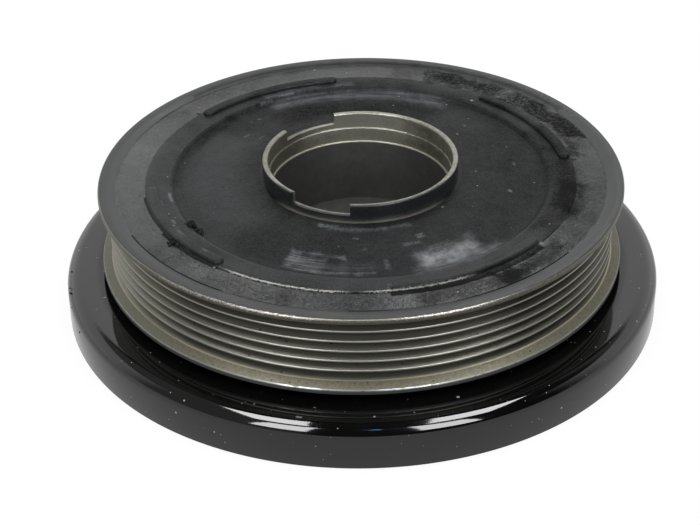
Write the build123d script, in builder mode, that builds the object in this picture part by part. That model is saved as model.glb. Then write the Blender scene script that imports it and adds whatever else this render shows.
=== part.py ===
from build123d import *
import os
from math import cos, radians, sin, tan

os.makedirs("parts", exist_ok=True)

# Crankshaft torsional vibration damper with a decoupled six-groove belt pulley.
# Millimetres. The origin is the centre of the inertia ring's back face, +Z points
# along the crankshaft axis towards the open front end. Profiles are drawn as
# (radius, height) in the XZ plane and revolved about the crankshaft axis.

# Inertia ring: the heavy gloss-black ring at the back
ring_radius = 100.0
ring_width = 20.0
ring_thickness = 15.1
ring_shoulder = 4.1          # rounding of the front outer edge
ring_back_edge = 0.3

# Damper rubber, bonded between the hub skirt and the inertia ring
track_thickness = 3.5
track_inset = 1.0            # how far the rubber stands back from the ring's faces
track_dish = 0.9             # hollow of its free faces

# Crankshaft hub: flange, boss and dished web in one forging
hub_recess = 9.0             # crank face above the ring's back face
floor_thickness = 9.3
crank_face_radius = 33.0
crank_face_relief = 1.0
pilot_radius = 12.0
pilot_chamfer = 1.0
bolt_count = 4
bolt_circle = 40.0
bolt_hole_radius = 4.5
well_radius = 29.6
well_corner = 1.2
well_depth = 22.73           # from the bolt seat up to the boss end
boss_wall = 7.4
boss_edge = 0.5
web_thickness = 6.2
recess_radius = 52.0         # hollow in the back that clears the timing cover
web_set_back = 6.0           # outer web above the ring's back face
web_slope = 3.5              # radial run of the step in the web
skirt_thickness = 5.0
skirt_inset = 1.5
skirt_edge = 0.6

# Plain bearing and thrust washer that carry the pulley on the boss
washer_thickness = 1.5
washer_width = 12.0
bearing_running_gap = 0.05
bearing_wall = 2.0
bearing_length = 9.7
seat_wall = 3.4

# Belt pulley: poly-vee rim, lip, lower flange and back web
groove_pitch = 3.56
groove_count = 6
groove_angle = 40.0
crest_radius = 84.0
crest_flat = 0.62
root_flat = 0.72
rim_wall = 2.95              # steel left under the grooves
rim_bottom_gap = 2.9         # air between the rim and the inertia ring
flange_height = 2.77         # lower flange, from the rim's end to its crest
flange_reach = 3.3           # beyond the crests
flange_band = 1.6
lip_reach = 3.1              # beyond the crests
lip_height = 2.97            # last crest to the lip's front face
lip_band = 1.8
lip_land = 2.6               # flat width of the lip's front face
lip_slope = 3.1              # radial width of the slope inside the land
lip_drop = 0.8
pulley_web = 3.5

# Decoupling unit: steel carrier, rubber body and inner sleeve
carrier_wall = 1.6
carrier_flange = 11.9        # radial width of its front flange
carrier_skirt = 17.0
face_skin = 1.8              # rubber over the carrier's flange
skin_seam = 0.25             # open seam between the rubber face and the lip
annulus_width = 9.9          # flat ring next to the lip
band_width = 8.3             # raised band that carries the ribs
band_rise = 0.4
dish_wall_run = 1.4
dish_depth = 1.75            # valley below the band
valley_reach = 3.2           # valley inside the band's inner edge
flank_reach = 14.2           # point on the dish's slope
flank_drop = 1.15            # flank point below the rubber's inner edge
nose_width = 2.76            # flat next to the sleeve's neck
body_thickness = 14.0
body_hollow = 3.0            # how far the rubber's hidden face is hollowed
sleeve_wall = 1.6
sleeve_length = 12.5
sleeve_neck_top = 4.77       # neck above the boss end
sleeve_neck_edge = 0.8

# Moulded stop ribs on the rubber face, each with a sunken ramp along its outer side
rib_count = 4
rib_first_angle = 29.3
rib_span = 45.0              # over the rounded ends
rib_set_in = 2.1             # rib centre line inside the band's outer edge
rib_width = 3.9
rib_height = 1.0             # above the band
rib_round = 0.8
ramp_width = 2.5             # from the band's outer edge to the ramp's foot
ramp_drop = 0.25             # foot of the ramp below the annulus

# Slotted collar pressed into the sleeve's neck
collar_wall = 1.84
collar_height = 10.3
collar_step = 0.5            # thicker foot below the step
collar_edge = 0.55
notch_depth = 3.7
notch_width = 37.3           # degrees
notch_angles = [125.2, 245.2]

# Heights and radii that follow from the sizes above
floor_top = hub_recess + floor_thickness
boss_top = floor_top + well_depth
boss_radius = well_radius + boss_wall
web_top = hub_recess + crank_face_relief + web_thickness
outer_web_top = web_set_back + web_thickness
ring_bore = ring_radius - ring_width
skirt_radius = ring_bore - track_thickness
skirt_bore = skirt_radius - skirt_thickness
rim_bottom = ring_thickness + rim_bottom_gap
first_crest = rim_bottom + flange_height
last_crest = first_crest + groove_count * groove_pitch
lip_top = last_crest + lip_height
pulley_web_bottom = web_top + washer_thickness
pulley_web_top = pulley_web_bottom + pulley_web
bearing_bore = boss_radius + bearing_running_gap
seat_bore = bearing_bore + bearing_wall
seat_radius = seat_bore + seat_wall
seat_top = pulley_web_bottom + bearing_length - 0.5
half_slope = tan(radians(groove_angle / 2))
groove_depth = (groove_pitch - crest_flat - root_flat) / 2 / half_slope
root_radius = crest_radius - groove_depth
rim_bore = root_radius - rim_wall
flange_radius = crest_radius + flange_reach
lip_radius = crest_radius + lip_reach
land_radius = lip_radius - lip_land
slope_foot = land_radius - lip_slope
annulus_height = lip_top - lip_drop
carrier_top = annulus_height - face_skin
carrier_bore = rim_bore - carrier_wall
carrier_flange_radius = carrier_bore - carrier_flange
band_outer = slope_foot - annulus_width
band_inner = band_outer - band_width
valley_radius = band_inner - valley_reach
band_height = annulus_height + band_rise
rib_top = band_height + rib_height
ramp_foot = annulus_height - ramp_drop
sleeve_radius = boss_radius + sleeve_wall
collar_bore = well_radius + 2 * collar_step
collar_radius = collar_bore + collar_wall
neck_radius = collar_radius + sleeve_wall
neck_top = boss_top + sleeve_neck_top
neck_edge_radius = neck_radius - sleeve_neck_edge
nose_radius = neck_edge_radius + nose_width
rib_radius = band_outer - rib_set_in
body_bottom = carrier_top - carrier_wall - body_thickness
collar_top = boss_top + collar_height

# --- Crankshaft hub ---
with BuildPart() as crank_hub:
    with BuildSketch(Plane.XZ):
        with BuildLine():
            Polyline(
                (pilot_radius, hub_recess),
                (crank_face_radius, hub_recess),
                (crank_face_radius, hub_recess + crank_face_relief),
                (recess_radius, hub_recess + crank_face_relief),
                (recess_radius + web_slope, web_set_back),
                (skirt_bore - skirt_edge, web_set_back),
                (skirt_bore, skirt_inset),
                (skirt_radius, skirt_inset),
                (skirt_radius, outer_web_top),
                (recess_radius + 3 * web_slope, outer_web_top),
                (recess_radius + web_slope, web_top),
                (boss_radius, web_top),
                (boss_radius, boss_top),
                (well_radius, boss_top),
                (well_radius, floor_top),
                (pilot_radius, floor_top),
                close=True,
            )
        make_face()
    revolve(axis=Axis.Z)
    well_foot = crank_hub.edges().filter_by(GeomType.CIRCLE).filter_by(
        lambda edge: abs(edge.radius - well_radius) < 0.01 and abs(edge.center().Z - floor_top) < 0.01
    )
    fillet(well_foot, radius=well_corner)
    mouth_edges = crank_hub.edges().filter_by(GeomType.CIRCLE).filter_by(
        lambda edge: abs(edge.center().Z - boss_top) < 0.01
    )
    chamfer(mouth_edges, length=boss_edge)
    pilot_edges = crank_hub.edges().filter_by(GeomType.CIRCLE).filter_by(
        lambda edge: abs(edge.radius - pilot_radius) < 0.01
    )
    chamfer(pilot_edges, length=pilot_chamfer)
    with Locations((0, 0, floor_top)):
        with PolarLocations(bolt_circle / 2, bolt_count, start_angle=45):
            Hole(bolt_hole_radius, depth=floor_thickness)
crank_hub.part.label = "crank_hub"
export_step(crank_hub.part, "parts/crank_hub.step")

# --- Inertia ring ---
with BuildPart() as inertia_ring:
    with BuildSketch(Plane.XZ) as ring_profile:
        with BuildLine():
            Polyline(
                (ring_bore, 0),
                (ring_radius, 0),
                (ring_radius, ring_thickness),
                (ring_bore, ring_thickness),
                close=True,
            )
        make_face()
        shoulder = ring_profile.vertices().group_by(Axis.Y)[-1].sort_by(Axis.X)[-1]
        fillet(shoulder, radius=ring_shoulder)
    revolve(axis=Axis.Z)
    back_edges = inertia_ring.edges().filter_by(GeomType.CIRCLE).group_by(Axis.Z)[0]
    chamfer(back_edges, length=ring_back_edge)
inertia_ring.part.label = "inertia_ring"
export_step(inertia_ring.part, "parts/inertia_ring.step")

# --- Damper rubber: hollow-faced track between skirt and ring ---
with BuildPart() as damper_rubber:
    track_back = skirt_inset + track_inset
    track_front = outer_web_top - track_inset
    track_middle = ring_bore - track_thickness / 2
    with BuildSketch(Plane.XZ):
        with BuildLine():
            Polyline(
                (skirt_radius, track_back),
                (track_middle, track_back + track_dish),
                (ring_bore, track_back),
                (ring_bore, track_front),
                (track_middle, track_front - track_dish),
                (skirt_radius, track_front),
                close=True,
            )
        make_face()
    revolve(axis=Axis.Z)
damper_rubber.part.label = "damper_rubber"
export_step(damper_rubber.part, "parts/damper_rubber.step")

# --- Thrust washer between the hub web and the pulley web ---
with BuildPart() as thrust_washer:
    with BuildSketch(Plane.XY.offset(web_top)):
        Circle(seat_bore + washer_width)
        Circle(bearing_bore, mode=Mode.SUBTRACT)
    extrude(amount=washer_thickness)
thrust_washer.part.label = "thrust_washer"
export_step(thrust_washer.part, "parts/thrust_washer.step")

# --- Plain bearing bush on the boss ---
with BuildPart() as plain_bearing:
    with BuildSketch(Plane.XY.offset(pulley_web_bottom)):
        Circle(seat_bore)
        Circle(bearing_bore, mode=Mode.SUBTRACT)
    extrude(amount=bearing_length)
plain_bearing.part.label = "plain_bearing"
export_step(plain_bearing.part, "parts/plain_bearing.step")

# --- Belt pulley ---
with BuildPart() as belt_pulley:
    with BuildSketch(Plane.XZ):
        with BuildLine():
            rim_points = [
                (rim_bore, rim_bottom),
                (flange_radius, rim_bottom),
                (flange_radius, rim_bottom + flange_band),
                (crest_radius, first_crest + crest_flat / 2),
            ]
            for groove in range(groove_count):
                middle = first_crest + (groove + 0.5) * groove_pitch
                rim_points.append((root_radius, middle - root_flat / 2))
                rim_points.append((root_radius, middle + root_flat / 2))
                if groove < groove_count - 1:
                    rim_points.append((crest_radius, middle + (groove_pitch - crest_flat) / 2))
                    rim_points.append((crest_radius, middle + (groove_pitch + crest_flat) / 2))
            rim_points.append((crest_radius, last_crest - crest_flat / 2))
            rim_points.append((lip_radius, lip_top - lip_band))
            rim_points.append((lip_radius, lip_top))
            rim_points.append((land_radius, lip_top))
            rim_points.append((slope_foot, annulus_height))
            rim_points.append((slope_foot, carrier_top))
            rim_points.append((rim_bore, carrier_top))
            rim_points.append((rim_bore, pulley_web_top))
            rim_points.append((seat_radius, pulley_web_top))
            rim_points.append((seat_radius, seat_top))
            rim_points.append((seat_bore, seat_top))
            rim_points.append((seat_bore, pulley_web_bottom))
            rim_points.append((rim_bore, pulley_web_bottom))
            Polyline(*rim_points, close=True)
        make_face()
    revolve(axis=Axis.Z)
belt_pulley.part.label = "belt_pulley"
export_step(belt_pulley.part, "parts/belt_pulley.step")

# --- Carrier ring pressed into the rim ---
with BuildPart() as carrier_ring:
    with BuildSketch(Plane.XZ):
        with BuildLine():
            Polyline(
                (carrier_bore, carrier_top - carrier_skirt),
                (rim_bore, carrier_top - carrier_skirt),
                (rim_bore, carrier_top),
                (carrier_flange_radius, carrier_top),
                (carrier_flange_radius, carrier_top - carrier_wall),
                (carrier_bore, carrier_top - carrier_wall),
                close=True,
            )
        make_face()
    revolve(axis=Axis.Z)
carrier_ring.part.label = "carrier_ring"
export_step(carrier_ring.part, "parts/carrier_ring.step")

# --- Inner sleeve of the decoupling unit, pressed over the boss ---
with BuildPart() as coupling_sleeve:
    with BuildSketch(Plane.XZ):
        with BuildLine():
            Polyline(
                (boss_radius, boss_top - sleeve_length),
                (sleeve_radius, boss_top - sleeve_length),
                (sleeve_radius, boss_top + sleeve_wall),
                (neck_radius, boss_top + sleeve_wall),
                (neck_radius, neck_top - sleeve_neck_edge),
                (neck_edge_radius, neck_top),
                (collar_radius, neck_top),
                (collar_radius, boss_top),
                (boss_radius, boss_top),
                close=True,
            )
        make_face()
    revolve(axis=Axis.Z)
coupling_sleeve.part.label = "coupling_sleeve"
export_step(coupling_sleeve.part, "parts/coupling_sleeve.step")

# --- Slotted collar at the front end ---
with BuildPart() as slotted_collar:
    with BuildSketch(Plane.XZ) as collar_profile:
        with BuildLine():
            Polyline(
                (well_radius + collar_step, boss_top),
                (collar_radius, boss_top),
                (collar_radius, collar_top),
                (collar_bore, collar_top),
                (collar_bore, neck_top),
                (well_radius + collar_step, neck_top),
                close=True,
            )
        make_face()
        fillet(collar_profile.vertices().group_by(Axis.Y)[-1], radius=collar_edge)
    revolve(axis=Axis.Z)
    for angle in notch_angles:
        with BuildSketch(Plane.XY.offset(collar_top - notch_depth)):
            with BuildLine():
                reach = collar_radius + collar_wall
                start = angle - notch_width / 2
                CenterArc((0, 0), reach, start, notch_width)
                PolarLine((0, 0), reach, start)
                PolarLine((0, 0), reach, start + notch_width)
            make_face()
        extrude(amount=notch_depth, mode=Mode.SUBTRACT)
slotted_collar.part.label = "slotted_collar"
export_step(slotted_collar.part, "parts/slotted_collar.step")

# --- Coupling rubber with its moulded front face ---
with BuildPart() as coupling_rubber:
    with BuildSketch(Plane.XZ):
        with BuildLine():
            face_line = Polyline(
                (neck_radius, neck_top - sleeve_neck_edge),
                (neck_edge_radius, neck_top),
                (nose_radius, neck_top),
            )
            dome = Spline(
                (nose_radius, neck_top),
                (band_inner - flank_reach, neck_top - flank_drop),
                (valley_radius, band_height - dish_depth),
                tangents=[(1, -0.02), (1, 0)],
            )
            dish_wall = Polyline(
                (valley_radius, band_height - dish_depth),
                (band_inner - dish_wall_run, band_height - dish_depth * 0.75),
                (band_inner, band_height),
                (band_outer, band_height),
                (band_outer + 0.1, annulus_height),
                (slope_foot - skin_seam, annulus_height),
                (slope_foot - skin_seam, carrier_top),
                (carrier_flange_radius, carrier_top),
                (carrier_flange_radius, carrier_top - carrier_wall),
                (carrier_bore, carrier_top - carrier_wall),
                (carrier_bore, body_bottom),
            )
            hidden_face = ThreePointArc(
                (carrier_bore, body_bottom),
                ((carrier_bore + sleeve_radius) / 2, body_bottom + body_hollow),
                (sleeve_radius, boss_top - sleeve_length + 1),
            )
            Polyline(
                (sleeve_radius, boss_top - sleeve_length + 1),
                (sleeve_radius, boss_top + sleeve_wall),
                (neck_radius, boss_top + sleeve_wall),
                (neck_radius, neck_top - sleeve_neck_edge),
            )
        make_face()
    revolve(axis=Axis.Z)
    end_angle = rib_width / 2 / radians(rib_radius)
    for index in range(rib_count):
        start = rib_first_angle + index * 360 / rib_count - rib_span / 2 + end_angle
        sweep_angle = rib_span - 2 * end_angle
        rib_line = CenterArc((0, 0), rib_radius, start, sweep_angle, mode=Mode.PRIVATE)
        ramp_angle = radians(rib_first_angle + index * 360 / rib_count - rib_span / 2)
        ramp_plane = Plane(
            origin=(0, 0, 0),
            x_dir=(cos(ramp_angle), sin(ramp_angle), 0),
            z_dir=(sin(ramp_angle), -cos(ramp_angle), 0),
        )
        with BuildSketch(ramp_plane):
            Polygon(
                (band_outer, band_height),
                (band_outer + ramp_width, ramp_foot),
                (band_outer + ramp_width, band_height),
                align=None,
            )
        revolve(axis=Axis.Z, revolution_arc=rib_span, mode=Mode.SUBTRACT)
        with BuildSketch(ramp_plane):
            Polygon(
                (band_outer - ramp_width / 4, ramp_foot),
                (band_outer - ramp_width / 4, band_height),
                (band_outer, band_height),
                (band_outer + ramp_width, ramp_foot),
                align=None,
            )
        revolve(axis=Axis.Z, revolution_arc=rib_span)
        with BuildSketch(Plane.XY.offset(annulus_height)):
            SlotArc(rib_line, rib_width)
        extrude(amount=rib_top - annulus_height)
    rib_tops = coupling_rubber.faces().filter_by(GeomType.PLANE).filter_by(
        lambda face: abs(face.center().Z - rib_top) < 0.01
    )
    fillet(rib_tops.edges(), radius=rib_round)
coupling_rubber.part.label = "coupling_rubber"
export_step(coupling_rubber.part, "parts/coupling_rubber.step")
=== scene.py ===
import bpy
import bmesh
from math import cos, pi, radians, sin
from mathutils import Matrix, Vector, noise


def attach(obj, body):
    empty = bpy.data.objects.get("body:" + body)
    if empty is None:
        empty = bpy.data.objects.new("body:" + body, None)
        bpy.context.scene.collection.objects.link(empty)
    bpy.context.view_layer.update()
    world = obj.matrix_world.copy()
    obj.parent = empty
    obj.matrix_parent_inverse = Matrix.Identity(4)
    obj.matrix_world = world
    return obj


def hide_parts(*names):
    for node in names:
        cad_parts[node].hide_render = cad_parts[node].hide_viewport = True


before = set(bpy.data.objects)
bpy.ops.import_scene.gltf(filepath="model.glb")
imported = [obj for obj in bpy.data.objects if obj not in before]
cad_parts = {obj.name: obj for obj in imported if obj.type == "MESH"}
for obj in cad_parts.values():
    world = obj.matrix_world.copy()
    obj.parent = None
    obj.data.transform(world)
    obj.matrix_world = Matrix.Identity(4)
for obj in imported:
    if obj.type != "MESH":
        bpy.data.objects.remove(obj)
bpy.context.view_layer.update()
mm = 0.001
weldDistance = 0.002 * mm
sharpAngle = 32
roundSteps = [(0.5, 3), (2, 6), (100, 10)]
print("frame loaded")


# mesh helpers
def polar(radius, angle, height):
    # a place from its radius and height in millimetres and its angle in radians
    return (radius * mm * cos(angle), radius * mm * sin(angle), height * mm)


def vertsOf(made):
    return [item for item in made if isinstance(item, bmesh.types.BMVert)]


def newObject(name, data):
    made = bpy.data.objects.new(name, data)
    bpy.context.scene.collection.objects.link(made)
    return made


def meshOf(name, bm):
    mesh = bpy.data.meshes.new(name)
    bm.to_mesh(mesh)
    bm.free()
    return mesh


def shadeSmooth(bm):
    for face in bm.faces:
        face.smooth = True
    for edge in bm.edges:
        edge.smooth = edge.calc_face_angle(0.0) < radians(sharpAngle)


def newPiece(name, bm, replaced, material):
    # turns a finished bmesh into a piece that rides on the one body
    shadeSmooth(bm)
    piece = newObject(name, meshOf(name, bm))
    piece.data.materials.append(material)
    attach(piece, "root")
    if replaced:
        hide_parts(replaced)
    return piece


def spun(bm, geom, angle, steps, centre=(0, 0, 0), merge=False):
    # turns geometry about the shaft, or about another centre, and gives what ends up last
    return bmesh.ops.spin(bm, geom=geom, cent=centre, axis=(0, 0, 1), dvec=(0, 0, 0), angle=angle,
                          steps=steps, use_merge=merge, use_duplicate=False)["geom_last"]


def rounded(bm, geom, kind, radius, segments):
    bmesh.ops.bevel(bm, geom=geom, offset=radius * mm, offset_type="OFFSET", affect=kind, segments=segments,
                    profile=0.5, material=-1, clamp_overlap=True)


def turned(corners, steps):
    # a closed profile of (radius, height, rounding) in millimetres, spun about the shaft axis
    bm = bmesh.new()
    roundings = {}
    loop = []
    for radius, height, rounding in corners:
        vert = bm.verts.new(polar(radius, 0.0, height))
        loop.append(vert)
        if rounding > 0.0:
            roundings.setdefault(rounding, []).append(vert)
    bm.faces.new(loop)
    for rounding, verts in roundings.items():
        rounded(bm, verts, "VERTICES", rounding, next(count for limit, count in roundSteps if rounding < limit))
    bmesh.ops.delete(bm, geom=bm.faces[:], context="FACES_ONLY")
    spun(bm, bm.verts[:] + bm.edges[:], 2 * pi, steps, merge=True)
    bmesh.ops.remove_doubles(bm, verts=bm.verts[:], dist=weldDistance)
    bmesh.ops.recalc_face_normals(bm, faces=bm.faces[:])
    return bm


def turnedPiece(name, values, replaced, material):
    return newPiece(name, turned(values["profile"], values["steps"]), replaced, material)


def arcStrip(bm, radius, width, midAngle, span, height, steps, capSteps):
    # flat face along an arc with round ends; span is over the ends, angles in degrees
    endAngle = width / 2 / radius
    start = radians(midAngle - span / 2) + endAngle
    sweep = radians(span) - 2 * endAngle
    outer = bm.verts.new(polar(radius + width / 2, start, height))
    before = set(bm.verts) - {outer}
    last = outer
    for centre, angle, count in (
        ((0, 0, 0), sweep, steps),
        (polar(radius, start + sweep, height), pi, capSteps),
        ((0, 0, 0), -sweep, steps),
        (polar(radius, start, height), pi, capSteps),
    ):
        last = vertsOf(spun(bm, [last], angle, count, centre))[0]
    added = [vert for vert in bm.verts if vert not in before]
    bmesh.ops.remove_doubles(bm, verts=added, dist=5 * weldDistance)
    edges = {edge for vert in bm.verts if vert not in before for edge in vert.link_edges}
    face = bmesh.ops.contextual_create(bm, geom=list(edges))["faces"][0]
    face.normal_update()
    if face.normal.z < 0:
        face.normal_flip()


def sectorOf(bm, corners, start, span, steps):
    # solid sector of a ring with the given (radius, height) section
    face = bm.faces.new([bm.verts.new(polar(radius, radians(start), height)) for radius, height in corners])
    spun(bm, [face] + face.edges[:] + face.verts[:], radians(span), steps)


def raised(bm, height):
    # lifts every face of the mesh into a solid, and gives what is on top
    made = bmesh.ops.extrude_face_region(bm, geom=bm.faces[:])["geom"]
    bmesh.ops.translate(bm, vec=(0, 0, height * mm), verts=vertsOf(made))
    return made


def cutBy(piece, cutterMesh):
    # takes the cutter's volume out of the piece and keeps the result as its mesh
    cutter = newObject("cutter", meshOf("cutter", cutterMesh))
    modifier = piece.modifiers.new("cut", "BOOLEAN")
    modifier.operation = "DIFFERENCE"
    modifier.solver = "EXACT"
    modifier.object = cutter
    graph = bpy.context.evaluated_depsgraph_get()
    result = bpy.data.meshes.new_from_object(piece.evaluated_get(graph))
    piece.modifiers.clear()
    old = piece.data
    piece.data = result
    result.materials.clear()
    result.materials.append(old.materials[0])
    bpy.data.objects.remove(cutter)
    bm = bmesh.new()
    bm.from_mesh(result)
    bmesh.ops.remove_doubles(bm, verts=bm.verts[:], dist=weldDistance)
    shadeSmooth(bm)
    for face in bm.faces:
        face.material_index = 0
    bm.to_mesh(result)
    bm.free()
    result.name = piece.name
    bpy.data.meshes.remove(old)


# shader helpers
def addNode(tree, kind, **settings):
    node = tree.nodes.new(kind)
    for key, value in settings.items():
        setattr(node, key, value)
    return node


def plug(socket, value):
    # joins a socket, or sets its value
    if isinstance(value, bpy.types.NodeSocket):
        socket.id_data.links.new(value, socket)
    else:
        socket.default_value = value


def calc(operation, a, b=0.0, clamp=False):
    # one step of arithmetic, in the tree that its sockets are in
    tree = (a if isinstance(a, bpy.types.NodeSocket) else b).id_data
    node = addNode(tree, "ShaderNodeMath", operation=operation, use_clamp=clamp)
    plug(node.inputs[0], a)
    plug(node.inputs[1], b)
    return node.outputs[0]


def joined(operation, values, clamp=False):
    # several values by one operation; only the last step is clamped
    total = values[0]
    for index, value in enumerate(values[1:], 2):
        total = calc(operation, total, value, clamp and index == len(values))
    return total


def plus(*values, clamp=False):
    return joined("ADD", values, clamp)


def times(*values):
    return joined("MULTIPLY", values)


def most(*values):
    return joined("MAXIMUM", values)


def less(a, b, clamp=False):
    return calc("SUBTRACT", a, b, clamp)


def rest(value):
    # what a mask leaves
    return less(1.0, value, clamp=True)


def weighed(base, *parts, clamp=False):
    # the base and each (value, weight)
    return plus(*[times(value, weight) for value, weight in parts], base, clamp=clamp)


def ease(value, low, high, fromValue=0.0, toValue=1.0):
    # smooth step from low to high
    node = addNode(value.id_data, "ShaderNodeMapRange", interpolation_type="SMOOTHSTEP")
    labels = ("Value", "From Min", "From Max", "To Min", "To Max")
    for label, given in zip(labels, (value, low, high, fromValue, toValue)):
        plug(node.inputs[label], given)
    return node.outputs["Result"]


def past(value, limits):
    # mask of what lies beyond the limits
    return ease(value, *limits)


def short(value, limits):
    # mask of what stays short of them
    return ease(value, *limits, 1.0, 0.0)


def blend(mask, first, second):
    node = addNode(mask.id_data, "ShaderNodeMix", data_type="RGBA", clamp_factor=True)
    plug(node.inputs[0], mask)
    for socket, value in ((node.inputs[6], first), (node.inputs[7], second)):
        plug(socket, value if isinstance(value, bpy.types.NodeSocket) else (*value, 1.0))
    return node.outputs[2]


def useCoords(tree):
    return addNode(tree, "ShaderNodeTexCoord").outputs["Object"]


def grainNoise(tree, scale, detail, roughness, vector=None):
    node = addNode(tree, "ShaderNodeTexNoise", noise_dimensions="3D")
    plug(node.inputs["Vector"], vector or useCoords(tree))
    for label, value in (("Scale", scale), ("Detail", detail), ("Roughness", roughness)):
        plug(node.inputs[label], value)
    return node.outputs["Fac"]


def newGroup(name, ins, out):
    # a shader group with float sockets, from a dictionary of inputs and their defaults
    group = bpy.data.node_groups.new(name, "ShaderNodeTree")
    for label, value in ins.items():
        socket = group.interface.new_socket(label, in_out="INPUT", socket_type="NodeSocketFloat")
        socket.default_value = value
    for label in out:
        group.interface.new_socket(label, in_out="OUTPUT", socket_type="NodeSocketFloat")
    return group, addNode(group, "NodeGroupInput").outputs, addNode(group, "NodeGroupOutput").inputs


def useGroup(tree, group, **values):
    node = addNode(tree, "ShaderNodeGroup", node_tree=group)
    for label, value in values.items():
        plug(node.inputs[label], value)
    return node.outputs


# shaft coordinates: radius and height in millimetres, angle in degrees about the shaft
shaftPlace, ins, outs = newGroup("shaftPlace", {}, ["radius", "angle", "height"])
split = addNode(shaftPlace, "ShaderNodeSeparateXYZ")
plug(split.inputs[0], useCoords(shaftPlace))
x, y, z = split.outputs
square = plus(times(x, x), times(y, y))
plug(outs["radius"], times(calc("SQRT", square), 1 / mm))
plug(outs["angle"], times(calc("ARCTAN2", y, x), 180.0 / pi))
plug(outs["height"], times(z, 1 / mm))

# worn edge and painted glint: a ragged line along a turned edge, used for bare worn metal and for painted edge
# highlights
wearValues = {"detail": 3.0, "roughness": 0.5, "noise": 2.4, "near": 0.7, "cover": 0.5, "base": -1.32,
              "limits": (0.42, 0.62), "fade": (0.0, 0.15)}
edgeInputs = {"radius": 0, "height": 0, "edgeRadius": 87, "edgeHeight": 45, "reach": 0.5, "grain": 900, "cover": 0.5}
edgeWearAndGlint, ins, outs = newGroup("edgeWearAndGlint", edgeInputs, ["mask"])
away = less(ins["radius"], ins["edgeRadius"])
above = less(ins["height"], ins["edgeHeight"])
square = plus(times(away, away), times(above, above))
near = rest(calc("DIVIDE", calc("SQRT", square), ins["reach"]))
wearNoise = grainNoise(edgeWearAndGlint, ins["grain"], wearValues["detail"], wearValues["roughness"])
ragged = weighed(wearValues["base"], (near, wearValues["near"]), (wearNoise, wearValues["noise"]),
                 (ins["cover"], wearValues["cover"]))
worn = past(ragged, wearValues["limits"])
plug(outs["mask"], times(worn, past(near, wearValues["fade"])))

# patch: a soft-edged field between two angles and two radii
patchValues = {"noise": (260.0, 5.0, 0.65), "shift": 6.0}
patchInputs = {"radius": 0, "angle": 0, "midAngle": 0, "halfAngle": 20, "midRadius": 77, "halfWidth": 4, "soft": 1,
               "ragged": 1}
arcPatch, ins, outs = newGroup("arcPatch", patchInputs, ["mask"])
aside = calc("FLOORED_MODULO", plus(less(ins["angle"], ins["midAngle"]), 540.0), 360.0)
aside = less(calc("ABSOLUTE", less(aside, 180.0)), ins["halfAngle"])
aside = times(aside, ins["midRadius"], pi / 180.0)
inOut = calc("ABSOLUTE", less(ins["radius"], ins["midRadius"]))
inOut = less(inOut, ins["halfWidth"])
edgeShift = less(grainNoise(arcPatch, *patchValues["noise"]), 0.5)
edgeShift = times(edgeShift, ins["ragged"], patchValues["shift"])
outside = plus(most(aside, inOut), edgeShift)
plug(outs["mask"], short(outside, (times(ins["soft"], -1.0), ins["soft"])))

# specks: small separate grains of dust or pits
speckValues = {"least": 0.35, "limits": (0.7, 1.0)}
specks, ins, outs = newGroup("specks", {"density": 300.0, "size": 0.12, "keep": 0.3}, ["mask"])
cells = addNode(specks, "ShaderNodeTexVoronoi", feature="F1")
plug(cells.inputs["Vector"], useCoords(specks))
plug(cells.inputs["Scale"], ins["density"])
grey = addNode(specks, "ShaderNodeSeparateColor")
plug(grey.inputs[0], cells.outputs["Color"])
grainSize = times(ins["size"], plus(grey.outputs[1], speckValues["least"]))
dot = short(calc("DIVIDE", cells.outputs["Distance"], grainSize), speckValues["limits"])
plug(outs["mask"], times(dot, calc("LESS_THAN", grey.outputs[0], ins["keep"])))

# cloudy: large soft unevenness on both sides of zero
cloudValues = {"detail": 5.0, "gain": 2.6}
cloudy, ins, outs = newGroup("cloudy", {"scale": 40.0, "fine": 0.5}, ["value"])
broad = grainNoise(cloudy, ins["scale"], cloudValues["detail"], ins["fine"])
plug(outs["value"], times(less(broad, 0.5), cloudValues["gain"]))
print("shader groups made")


def newMaterial(name):
    material = bpy.data.materials.new(name)
    material.use_nodes = True
    tree = material.node_tree
    return material, tree, tree.nodes["Principled BSDF"], useGroup(tree, shaftPlace)


def finish(shader, colour, rough, metallic=0.0, specular=0.5):
    labels = ("Base Color", "Roughness", "Metallic", "Specular IOR Level")
    for label, value in zip(labels, (colour, rough, metallic, specular)):
        plug(shader.inputs[label], value)


def bumpOf(shader, height, strength, distance):
    bump = addNode(shader.id_data, "ShaderNodeBump")
    for label, value in (("Strength", strength), ("Distance", distance), ("Height", height)):
        plug(bump.inputs[label], value)
    plug(shader.inputs["Normal"], bump.outputs["Normal"])


lineNoise = (1.0, 3.0, 0.6)


def turningLines(tree, place, spacing, stretch=0.05):
    # fine tool lines that run round the shaft
    join = addNode(tree, "ShaderNodeCombineXYZ")
    for index, (label, scale) in enumerate((("radius", spacing), ("height", spacing), ("angle", stretch))):
        plug(join.inputs[index], times(place[label], scale))
    return grainNoise(tree, *lineNoise, join.outputs[0])


def cloud(tree, values):
    # unevenness from (scale, fine)
    return useGroup(tree, cloudy, scale=values[0], fine=values[1])["value"]


def speck(tree, values):
    # grains from (density, size, keep)
    return useGroup(tree, specks, density=values[0], size=values[1], keep=values[2])["mask"]


def edgeOf(tree, place, **values):
    return useGroup(tree, edgeWearAndGlint, radius=place["radius"], height=place["height"], **values)["mask"]


def patchField(tree, place, spot, ragged):
    # mask of one spot: (middle angle, half angle, middle radius, half width, softness)
    labels = ("midAngle", "halfAngle", "midRadius", "halfWidth", "soft")
    return useGroup(tree, arcPatch, radius=place["radius"], angle=place["angle"], ragged=ragged,
                    **dict(zip(labels, spot)))["mask"]


def joinFields(tree, place, spots, ragged):
    # the strongest of several spots, each (spot, strength)
    return most(*[times(patchField(tree, place, spot, ragged), strength) for spot, strength in spots])


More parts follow.
